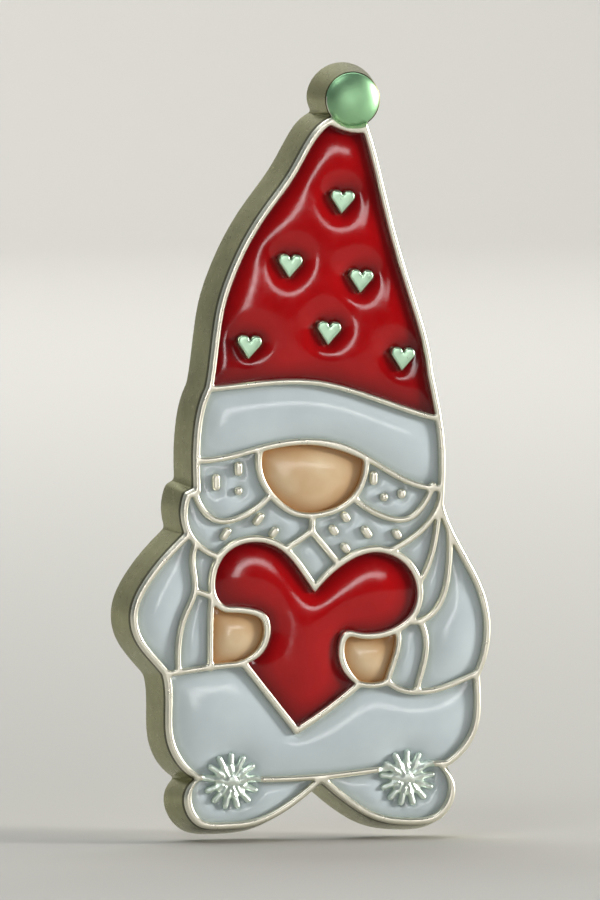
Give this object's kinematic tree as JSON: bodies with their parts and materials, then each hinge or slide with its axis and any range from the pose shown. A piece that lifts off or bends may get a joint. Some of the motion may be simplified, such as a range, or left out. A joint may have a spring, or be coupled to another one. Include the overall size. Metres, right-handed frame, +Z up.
{
  "type": "candle pin",
  "caption": "Flat cast metal gnome with coloured enamel fields and a steel spike on its back, pushed into the side of a candle as decoration.",
  "frame": {"origin": "where the axis of the spike meets the flat back of the casting", "axes": "+Y along the spike, away from the back; +Z up towards the ball on the hat; the enamelled face looks along -Y"},
  "size_m": [0.0161, 0.0124, 0.0323],
  "materials": {
    "plated_metal": "zinc casting with polished pale gold plating",
    "red_enamel": "glossy soft enamel, deep red",
    "white_enamel": "glossy soft enamel, cool white",
    "skin_enamel": "glossy soft enamel, skin colour",
    "steel": "drawn steel wire",
    "solder": "dull soft solder"
  },
  "bodies": {
    "root": {"casting": "plated_metal", "candle_spike": "steel", "solder_ring": "solder", "enamel_hat": "red_enamel", "enamel_heart": "red_enamel", "enamel_nose": "skin_enamel", "enamel_hand_left": "skin_enamel", "enamel_hand_right": "skin_enamel", "enamel_brim": "white_enamel", "enamel_cheek_left": "white_enamel", "enamel_cheek_right": "white_enamel", "enamel_moustache_left": "white_enamel", "enamel_moustache_right": "white_enamel", "enamel_chin": "white_enamel", "enamel_sleeve_left": "white_enamel", "enamel_shoulder_left": "white_enamel", "enamel_cuff_left": "white_enamel", "enamel_beard_right": "white_enamel", "enamel_shoulder_right": "white_enamel", "enamel_sleeve_right": "white_enamel", "enamel_cuff_right": "white_enamel", "enamel_belly": "white_enamel", "enamel_shoe_left": "white_enamel", "enamel_shoe_right": "white_enamel"}
  },
  "joints": []
}
